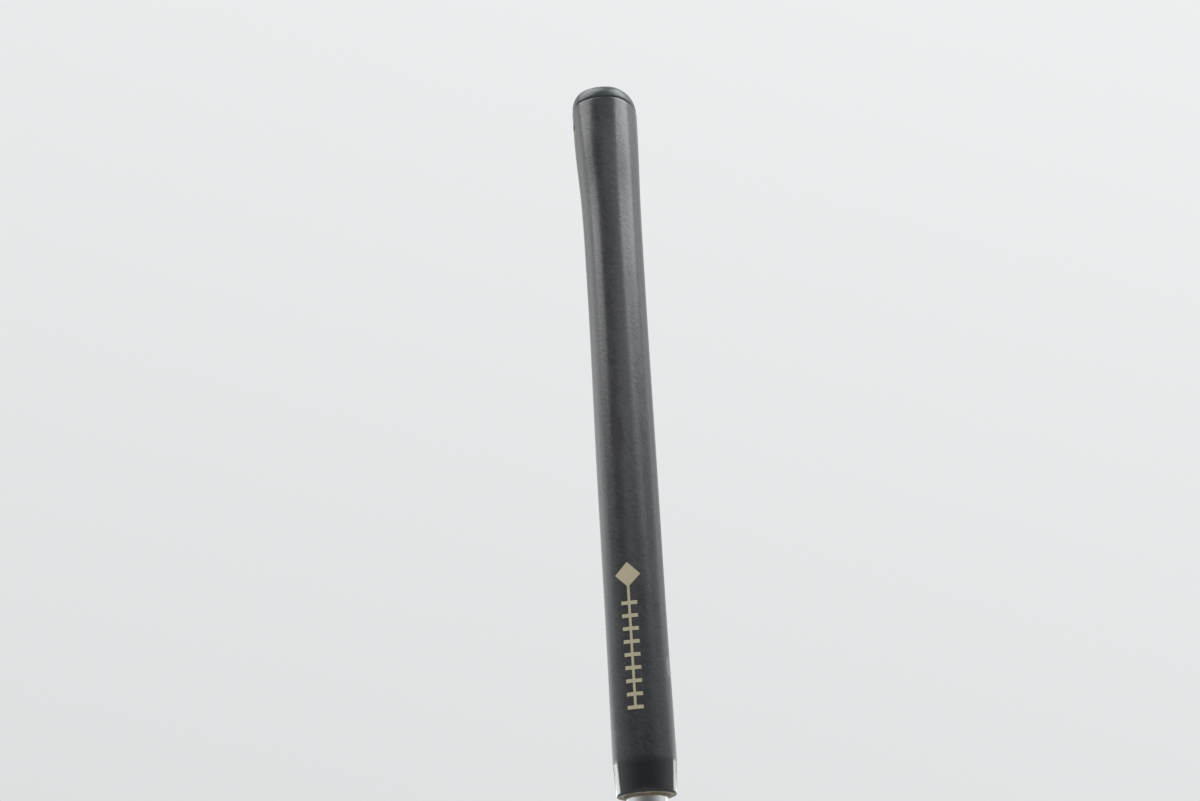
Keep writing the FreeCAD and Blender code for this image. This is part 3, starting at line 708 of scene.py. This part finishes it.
endCap = {
    "plugClearance": 0.15 * mm,
    "ventRadius": 1.3 * mm,
    "ventRim": 0.4 * mm,
    # shares of ventRim: way out from the vent, way down from the cap's top
    "ventProfile": [(2, 0), (0.4, 0.15), (0, 1)],
    "grooveHeight": 0.3 * mm,
    "grooveShare": 0.955,
    "edgeShares": [(0.02, 0.974), (0.06, 0.984)],
    "domeShares": [(0.14, 0.986), (0.23, 0.984), (0.33, 0.975), (0.45, 0.958), (0.54, 0.934), (0.64, 0.903),
                   (0.71, 0.868), (0.77, 0.831), (0.83, 0.787), (0.88, 0.728), (0.93, 0.660), (0.965, 0.580),
                   (1.00, 0.430)],
    "colour": (0.012, 0.0205, 0.0215, 1),
    "paleColour": (0.022, 0.0335, 0.0345, 1),
    "gloss": 0.54,
    "roughness": (0.32, 0.4),
    "patchSize": 4 * mm,
    "grainSize": 0.3 * mm,
    "grainDepth": 0.03 * mm,
    # The groove's dull, low-gloss finish is painted shade as well as dust
    "dirtAndShadeColour": (0.055, 0.053, 0.051, 1),
    "dirtAndShadeGloss": 0.2,
    "dirtAndShadeRoughness": (0.6, 0.8),
    "dirtAndShadeShare": 1.3,
    "rustColour": (0.13, 0.062, 0.048, 1),
    "rustSize": 5 * mm,
    "rustRange": (0.38, 0.55),
    "rustSide": (3 * mm, 8 * mm),
    "smoothAngle": 40,
}


def makeCapRubber():
    finish, tree, shader = startFinish("capRubber", Specular_IOR_Level=endCap["gloss"])
    place = coordinates(tree)
    patches = noise(tree, place, endCap["patchSize"], detail=5, roughness=0.6)
    colour = mixColour(tree, stretchNoise(tree, patches), endCap["colour"], endCap["paleColour"])
    roughness = stretchNoise(tree, patches, *endCap["roughness"])
    relief = bump(tree, noise(tree, place, endCap["grainSize"], detail=3), endCap["grainDepth"])
    plug(tree, shader, Base_Color=colour, Roughness=roughness, Normal=relief)
    return finish


def makeSeamDirtAndShade():
    # Dust and painted shade in the groove all round: a dull, low-gloss finish darkens the groove, reddish in
    # places on its right side
    finish, tree, shader = startFinish("seamDirt", Specular_IOR_Level=endCap["dirtAndShadeGloss"])
    place = coordinates(tree)
    rust = noise(tree, place, endCap["rustSize"])
    sideways = addNode(tree, "ShaderNodeSeparateXYZ", {"Vector": place}).outputs["X"]
    onRight = between(tree, sideways, *endCap["rustSide"])
    rusty = combine(tree, "MULTIPLY", between(tree, rust, *endCap["rustRange"]), onRight)
    colour = mixColour(tree, rusty, endCap["dirtAndShadeColour"], endCap["rustColour"])
    plug(tree, shader, Base_Color=colour, Roughness=stretchNoise(tree, rust, *endCap["dirtAndShadeRoughness"]))
    return finish


def makeEndCap():
    last = gripOutline(1)
    plugRadius = boreRadius - endCap["plugClearance"]
    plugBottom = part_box("grip_end_cap")[0].z
    height = capTop - seamHeight
    vent, rim = endCap["ventRadius"], endCap["ventRim"]
    rows = [
        roundRow(last, vent, plugBottom),
        roundRow(last, plugRadius - rim, plugBottom),
        roundRow(last, plugRadius, plugBottom + rim),
        roundRow(last, plugRadius, seamHeight),
        liftOutline(gripOutline(1, endCap["grooveShare"]), seamHeight),
        liftOutline(gripOutline(1, endCap["grooveShare"]), seamHeight + endCap["grooveHeight"]),
    ]
    for heightShare, outlineShare in endCap["edgeShares"] + endCap["domeShares"]:
        rise = endCap["grooveHeight"] * (1 - heightShare) + height * heightShare
        rows.append(liftOutline(gripOutline(1, outlineShare), seamHeight + rise))
    for wayOut, wayDown in endCap["ventProfile"]:
        rows.append(roundRow(last, vent + wayOut * rim, capTop - wayDown * rim))
    cap = wrapSheet("gripEndCap", len(last), rows)
    closeUp(cap, endCap["smoothAngle"])
    finishPiece(cap, "cap_rubber", makeCapRubber(), "grip_end_cap")
    # The dirt and painted shade reach a little over the groove's upper edge
    dirtAndShadeTop = seamHeight + endCap["grooveHeight"] * endCap["dirtAndShadeShare"]
    paintFaces(cap, makeSeamDirtAndShade(), lambda face: plugBottom + rim < face.calc_center_median().z < dirtAndShadeTop)


makeEndCap()
print("end cap made")


# Mark on the flat front: a lozenge over a line with ticks, filled with gold paint

gripMark = {
    "proud": 0.05 * mm,
    "colour": (0.375, 0.335, 0.225, 1),
    "wornColour": (0.18, 0.16, 0.115, 1),
    "gloss": 0.4,
    "roughness": (0.42, 0.6),
    "wearSize": 0.7 * mm,
    "wearRange": (0.60, 0.74),
    "wearDepth": 0.02 * mm,
    "smoothAngle": 30,
}


def makeMarkPaint():
    finish, tree, shader = startFinish("markPaint", Specular_IOR_Level=gripMark["gloss"])
    wear = noise(tree, coordinates(tree), gripMark["wearSize"], detail=6, roughness=0.7)
    share = between(tree, wear, *gripMark["wearRange"])
    colour = mixColour(tree, share, gripMark["colour"], gripMark["wornColour"])
    roughness = stretchNoise(tree, wear, *gripMark["roughness"])
    plug(tree, shader, Base_Color=colour, Roughness=roughness, Normal=bump(tree, wear, gripMark["wearDepth"]))
    return finish


def makeGripMark():
    mark = refineCopy("grip_mark", "gripMark", smoothAngle=gripMark["smoothAngle"])
    editAll(mark)
    bpy.ops.transform.translate(value=(0, -gripMark["proud"], 0))
    bpy.ops.object.mode_set(mode="OBJECT")
    finishPiece(mark, "mark_gold", makeMarkPaint(), "grip_mark")


makeGripMark()
print("mark made")


# Grip tape: brown paper, its ragged edge showing under the mouth

gripTape = {
    "edge": 0.8 * mm,
    "raggedness": 0.22 * mm,
    "raggedLift": 0.6,
    "raggedSize": 1.3 * mm,
    "raggedBelow": 0.1 * mm,
    "hiddenRise": 30 * mm,
    "shaftGap": 0.01 * mm,
    "columns": 120,
    "smoothAngle": 40,
    "colour": (0.30, 0.27, 0.19, 1),
    "glueColour": (0.16, 0.09, 0.045, 1),
    "paleColour": (0.42, 0.40, 0.31, 1),
    "roughness": 0.8,
    "stainSize": 3 * mm,
    "stainRange": (0.35, 0.65),
    "fibreSize": 0.3 * mm,
    "fibreRange": (0.45, 0.75),
    "fibreDepth": 0.05 * mm,
}


def makeTapePaper():
    finish, tree, shader = startFinish("tapePaper", Roughness=gripTape["roughness"])
    place = coordinates(tree)
    stain = noise(tree, place, gripTape["stainSize"], detail=5)
    fibre = noise(tree, place, gripTape["fibreSize"], detail=3)
    share = between(tree, stain, *gripTape["stainRange"])
    colour = mixColour(tree, share, gripTape["glueColour"], gripTape["colour"])
    colour = mixColour(tree, between(tree, fibre, *gripTape["fibreRange"]), colour, gripTape["paleColour"])
    plug(tree, shader, Base_Color=colour, Normal=bump(tree, fibre, gripTape["fibreDepth"]))
    return finish


def makeGripTape():
    mouth = mouthHeight + gripSleeve["mouthRise"]
    low, top = mouth - gripTape["edge"], mouth + gripTape["hiddenRise"]
    inner, outer = shaftRadius + gripTape["shaftGap"], boreRadius
    profile = [(inner, low), (outer, low), (outer, mouth - gripTape["edge"] / 2), (outer, mouth),
               (outer, top), (inner, top)]
    tape = spinProfile("gripTape", profile, gripTape["columns"])
    closeUp(tape, gripTape["smoothAngle"])
    for point in tape.data.vertices:
        if point.co.z < mouth - gripTape["raggedBelow"]:
            ragged = noiseField(point.co / gripTape["raggedSize"]) + gripTape["raggedLift"]
            share = (mouth - point.co.z) / gripTape["edge"]
            point.co.z += gripTape["raggedness"] * share * ragged
    finishPiece(tape, "tape", makeTapePaper(), "grip_tape")


makeGripTape()
print("tape made")


# Shaft: chromed tube that steps down to its tip

shaft = {
    "tipRadius": 4.7 * mm,
    "wall": 0.5 * mm,
    "stepCount": 12,
    "stepPitch": 34 * mm,
    "stepBevel": 1.2 * mm,
    "tipRun": 62 * mm,
    "softening": 0.25 * mm,
    "columns": 96,
    "smoothAngle": 50,
    "colour": (0.72, 0.735, 0.745, 1),
    "roughness": (0.06, 0.16),
    "smudgeSize": 18 * mm,
    "smudgeRange": (0.35, 0.7),
    "drawSize": 0.5 * mm,
    "drawStretch": (1, 1, 0.02),
    "drawDepth": 0.002 * mm,
}


def makeShaftChrome():
    # Smudged by hands, with faint lines along the tube from drawing it
    finish, tree, shader = startFinish("shaftChrome", Metallic=1.0, Base_Color=shaft["colour"])
    smudge = noise(tree, coordinates(tree), shaft["smudgeSize"], detail=6, roughness=0.65)
    draw = noise(tree, coordinates(tree, stretch=shaft["drawStretch"]), shaft["drawSize"], detail=3)
    roughness = between(tree, smudge, *shaft["smudgeRange"], *shaft["roughness"])
    plug(tree, shader, Roughness=roughness, Normal=bump(tree, draw, shaft["drawDepth"]))
    return finish


def makeShaft():
    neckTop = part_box("neck")[1].z
    bottom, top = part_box("shaft")[0].z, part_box("shaft")[1].z
    rise = (shaftRadius - shaft["tipRadius"]) / shaft["stepCount"]
    outer = [(shaft["tipRadius"], bottom)]
    for index in range(shaft["stepCount"]):
        middle = neckTop + shaft["tipRun"] + index * shaft["stepPitch"]
        radius = shaft["tipRadius"] + index * rise
        outer.append((radius, middle - shaft["stepBevel"] / 2))
        outer.append((radius + rise, middle + shaft["stepBevel"] / 2))
    outer.append((shaftRadius, top))
    # The bore follows every fourth point of the outside
    inner = [(radius - shaft["wall"], height) for radius, height in reversed(outer[::4] + [outer[-1]])]
    tube = spinProfile("shaftTube", outer + inner, shaft["columns"], shaft["softening"])
    closeUp(tube, shaft["smoothAngle"])
    finishPiece(tube, "shaft_chrome", makeShaftChrome(), "shaft")


makeShaft()
print("shaft made")


# Neck and head: satin steel with rounded edges

mounts = {mount["name"]: mount for mount in frame["record"]["mounts"]}
soleNormal = Vector(mounts["sole"]["axis"]).normalized()
faceNormal = Vector(mounts["face"]["axis"]).normalized()
headLine = soleNormal.cross(faceNormal).normalized()
leanAngle = math.asin(soleNormal.y)

headMetal = {
    "colour": (0.43, 0.435, 0.44, 1),
    "neckEdge": 0.5 * mm,
    "headEdge": 0.55 * mm,
    "brushWidth": 0.5 * mm,
    "brushDepth": 0.003 * mm,
    "brushStretch": 0.02,
    "handlingSize": 12 * mm,
    "neckRoughness": 0.30,
    "headRoughness": 0.28,
    "smootherBy": 0.05,
    "rougherBy": 0.07,
}


def makeSatinSteel(name, colour, roughness, along):
    # Brushed along one direction, with fine lines in its relief, and dulled unevenly by handling
    finish, tree, shader = startFinish(name, Metallic=1.0, Base_Color=colour)
    stretch = tuple(headMetal["brushStretch"] if axis == along else 1 for axis in "XYZ")
    place = coordinates(tree, turn=(-leanAngle, 0, 0), stretch=stretch)
    brush = noise(tree, place, headMetal["brushWidth"], detail=3)
    handling = noise(tree, coordinates(tree), headMetal["handlingSize"], detail=5, roughness=0.6)
    low, high = roughness - headMetal["smootherBy"], roughness + headMetal["rougherBy"]
    rough = stretchNoise(tree, handling, low, high)
    plug(tree, shader, Roughness=rough, Normal=bump(tree, brush, headMetal["brushDepth"]))
    return finish


def makeNeckAndHead():
    neck = refineCopy("neck", "neckHosel", headMetal["neckEdge"])
    steel = makeSatinSteel("neckSteel", headMetal["colour"], headMetal["neckRoughness"], "Z")
    finishPiece(neck, "neck_steel", steel, "neck")
    head = refineCopy("head_body", "headBlade", headMetal["headEdge"])
    steel = makeSatinSteel("headSteel", headMetal["colour"], headMetal["headRoughness"], "Y")
    finishPiece(head, "head_steel", steel, "head_body")


makeNeckAndHead()
print("neck and head made")


# Bead of epoxy where the shaft enters the neck

hoselBead = {
    "reach": 0.55 * mm,
    "rise": 0.4 * mm,
    "foot": 0.02 * mm,
    "slopeShares": (0.45, 0.55),
    "depth": 3 * mm,
    "columns": 72,
    "smoothAngle": 50,
    "colour": (0.012, 0.012, 0.013, 1),
    "roughness": (0.2, 0.35),
    "rippleSize": 1.5 * mm,
    "rippleDepth": 0.05 * mm,
}


def makeHoselBead():
    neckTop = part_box("neck")[1].z
    bottom = neckTop - hoselBead["depth"]
    inner, outer = shaft["tipRadius"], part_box("hosel_adhesive")[1].x
    reachShare, riseShare = hoselBead["slopeShares"]
    profile = [(inner, bottom), (outer, bottom), (outer, neckTop),
               (outer + hoselBead["reach"], neckTop + hoselBead["foot"]),
               (outer + hoselBead["reach"] * reachShare, neckTop + hoselBead["rise"] * riseShare),
               (inner, neckTop + hoselBead["rise"])]
    bead = spinProfile("hoselBead", profile, hoselBead["columns"])
    closeUp(bead, hoselBead["smoothAngle"])
    finish, tree, shader = startFinish("epoxy", Base_Color=hoselBead["colour"])
    ripples = noise(tree, coordinates(tree), hoselBead["rippleSize"])
    rough = stretchNoise(tree, ripples, *hoselBead["roughness"])
    plug(tree, shader, Roughness=rough, Normal=bump(tree, ripples, hoselBead["rippleDepth"]))
    finishPiece(bead, "adhesive", finish, "hosel_adhesive")


makeHoselBead()
print("epoxy bead made")


# Face insert: milled plate in the face

faceInsert = {
    "length": 64 * mm,
    "height": 15.6 * mm,
    "thickness": 3.6 * mm,
    "cornerRadius": 3.5 * mm,
    "cornerSegments": 10,
    "rim": 1.1 * mm,
    "rimShare": 0.9,
    "groovePitch": 1.12 * mm,
    "grooveWidth": 0.5 * mm,
    "grooveDepth": 0.32 * mm,
    "grooveCount": 11,
    "edge": 0.06 * mm,
    "edgeAngle": 40,
    "smoothAngle": 30,
    "frontReach": 0.1 * mm,
    "colour": (0.20, 0.205, 0.215, 1),
    "roughness": 0.38,
    # The grooves' dark steel is painted shade in the recesses
    "grooveShadeColour": (0.045, 0.046, 0.048, 1),
    "grooveRoughness": 0.5,
    # shares of grooveDepth between which a face counts as the groove's
    "grooveShares": (1.1, 0.3),
}


def standOn(piece, place, outward, along):
    # Turns a piece modelled flat at the origin so that its Z looks outward and its X runs along, and moves it
    across = outward.cross(along)
    turn = Matrix((along, across, outward)).transposed().to_4x4()
    piece.matrix_world = Matrix.Translation(place) @ turn
    workOn(piece)
    bpy.ops.object.transform_apply()


def makeFaceInsert():
    deselectAll()
    bpy.ops.mesh.primitive_plane_add(size=1, location=(0, 0, -faceInsert["thickness"]))
    plate = bpy.context.object
    plate.name = "faceInsert"
    plate.scale = (faceInsert["length"], faceInsert["height"], 1)
    bpy.ops.object.transform_apply()
    editAll(plate)
    bpy.ops.mesh.bevel(affect="VERTICES", offset=faceInsert["cornerRadius"],
                       segments=faceInsert["cornerSegments"])
    bpy.ops.mesh.select_all(action="SELECT")
    bpy.ops.mesh.extrude_region_move(TRANSFORM_OT_translate={"value": (0, 0, faceInsert["thickness"])})
    pick(plate, "faces", lambda face: looksUp(face) and atFront(face))
    bpy.ops.mesh.inset(thickness=faceInsert["rim"], depth=0)
    half = (faceInsert["grooveCount"] - 1) / 2
    for index in range(faceInsert["grooveCount"]):
        middle = (index - half) * faceInsert["groovePitch"]
        for side in (-0.5, 0.5):
            edge = middle + side * faceInsert["grooveWidth"]
            pick(plate, "faces", lambda face: looksUp(face) and insideRim(face))
            bpy.ops.mesh.bisect(plane_co=(0, edge, 0), plane_no=(0, 1, 0))
    pick(plate, "faces", lambda face: looksUp(face) and insideRim(face) and inGroove(face))
    bpy.ops.mesh.extrude_region_move(TRANSFORM_OT_translate={"value": (0, 0, -faceInsert["grooveDepth"])})
    closeUp(plate, faceInsert["smoothAngle"])
    applyModifier(plate, "BEVEL", width=faceInsert["edge"], segments=2, limit_method="ANGLE",
                  angle_limit=math.radians(faceInsert["edgeAngle"]))
    metal = makeSatinSteel("milledPlate", faceInsert["colour"], faceInsert["roughness"], "Y")
    finishPiece(plate, "insert_metal", metal, "face_insert")
    # The grooves get a much darker steel than the plate: painted shade in the recesses
    shade = makeSatinSteel("milledGroove", faceInsert["grooveShadeColour"], faceInsert["grooveRoughness"], "Y")
    low, high = [-share * faceInsert["grooveDepth"] for share in faceInsert["grooveShares"]]
    paintFaces(plate, shade, lambda face: low < face.calc_center_median().z < high)
    standOn(plate, Vector(mounts["face"]["pos_m"]), faceNormal, headLine)


def atFront(face):
    return face.calc_center_median().z > -faceInsert["frontReach"]


def insideRim(face):
    middle = face.calc_center_median()
    rim = faceInsert["rim"] * faceInsert["rimShare"]
    inHeight = abs(middle.y) < faceInsert["height"] / 2 - rim
    inLength = abs(middle.x) < faceInsert["length"] / 2 - rim
    return atFront(face) and inHeight and inLength


def inGroove(face):
    half = (faceInsert["grooveCount"] - 1) / 2
    place = face.calc_center_median().y / faceInsert["groovePitch"] + half
    near = round(place)
    reach = faceInsert["grooveWidth"] / faceInsert["groovePitch"] / 2
    return 0 <= near < faceInsert["grooveCount"] and abs(place - near) < reach


makeFaceInsert()
print("face insert made")


# Sole weights: turned discs with a shallow dish and two holes for the key

soleWeight = {
    "radius": 6 * mm,
    "depth": 7 * mm,
    "rim": 0.9 * mm,
    "dish": 0.25 * mm,
    "edge": 0.12 * mm,
    "holeRadius": 0.9 * mm,
    "holeSpacing": 6.4 * mm,
    "holeDepth": 2.5 * mm,
    "columns": 72,
    "holeColumns": 32,
    "edgeAngle": 40,
    "smoothAngle": 35,
    "colour": (0.60, 0.60, 0.61, 1),
    "roughness": (0.2, 0.34),
    "handlingSize": 5 * mm,
    "turningSize": 0.15 * mm,
    "turningDepth": 0.01 * mm,
}


def makeWeight(node, name, finish):
    low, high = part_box(node)
    place = (low + high) / 2 + soleNormal * soleWeight["depth"] / 2
    deselectAll()
    bpy.ops.mesh.primitive_cylinder_add(vertices=soleWeight["columns"], radius=soleWeight["radius"],
                                        depth=soleWeight["depth"],
                                        location=(0, 0, -soleWeight["depth"] / 2))
    weight = bpy.context.object
    weight.name = name
    bpy.ops.object.transform_apply()
    editAll(weight)
    pick(weight, "faces", looksUp)
    bpy.ops.mesh.inset(thickness=soleWeight["rim"], depth=0)
    bpy.ops.mesh.inset(thickness=soleWeight["dish"], depth=-soleWeight["dish"])
    bpy.ops.object.mode_set(mode="OBJECT")
    for side in (-0.5, 0.5):
        deselectAll()
        bpy.ops.mesh.primitive_cylinder_add(vertices=soleWeight["holeColumns"],
                                            radius=soleWeight["holeRadius"],
                                            depth=2 * soleWeight["holeDepth"],
                                            location=(0, side * soleWeight["holeSpacing"], 0))
        drill = bpy.context.object
        applyModifier(weight, "BOOLEAN", operation="DIFFERENCE", object=drill, solver="EXACT")
        bpy.data.objects.remove(drill)
    applyModifier(weight, "BEVEL", width=soleWeight["edge"], segments=2, limit_method="ANGLE",
                  angle_limit=math.radians(soleWeight["edgeAngle"]))
    closeUp(weight, soleWeight["smoothAngle"])
    standOn(weight, place, soleNormal, headLine)
    finishPiece(weight, "weight_steel", finish, node)


def makeTurnedSteel():
    finish, tree, shader = startFinish("turnedSteel", Metallic=1.0, Base_Color=soleWeight["colour"])
    handling = noise(tree, coordinates(tree), soleWeight["handlingSize"], detail=5)
    turning = noise(tree, coordinates(tree), soleWeight["turningSize"])
    rough = stretchNoise(tree, handling, *soleWeight["roughness"])
    plug(tree, shader, Roughness=rough, Normal=bump(tree, turning, soleWeight["turningDepth"]))
    return finish


turnedSteel = makeTurnedSteel()
makeWeight("sole_weight_heel", "soleWeightHeel", turnedSteel)
makeWeight("sole_weight_toe", "soleWeightToe", turnedSteel)
print("sole weights made")


# Sight line and the bed under the insert

trimSettings = {
    "lineColour": (0.014, 0.014, 0.015, 1),
    "lineRoughness": (0.25, 0.4),
    "lineEdge": 0.08 * mm,
    "flowSize": 2 * mm,
    "bedColour": (0.02, 0.02, 0.021, 1),
    "bedRoughness": (0.7, 0.9),
    "poreSize": 0.5 * mm,
    "reliefDepth": 0.03 * mm,
}


def makeTrim():
    finish, tree, shader = startFinish("linePaint", Base_Color=trimSettings["lineColour"])
    flow = noise(tree, coordinates(tree), trimSettings["flowSize"])
    rough = stretchNoise(tree, flow, *trimSettings["lineRoughness"])
    plug(tree, shader, Roughness=rough, Normal=bump(tree, flow, trimSettings["reliefDepth"]))
    line = refineCopy("sight_line", "sightLine", trimSettings["lineEdge"], segments=2, bevelAngle=40)
    finishPiece(line, "line_paint", finish, "sight_line")
    finish, tree, shader = startFinish("bedRubber", Base_Color=trimSettings["bedColour"])
    pores = noise(tree, coordinates(tree), trimSettings["poreSize"])
    rough = stretchNoise(tree, pores, *trimSettings["bedRoughness"])
    plug(tree, shader, Roughness=rough, Normal=bump(tree, pores, trimSettings["reliefDepth"]))
    nodes["insert_bed"].data.materials[0] = finish


makeTrim()
print("trim made")
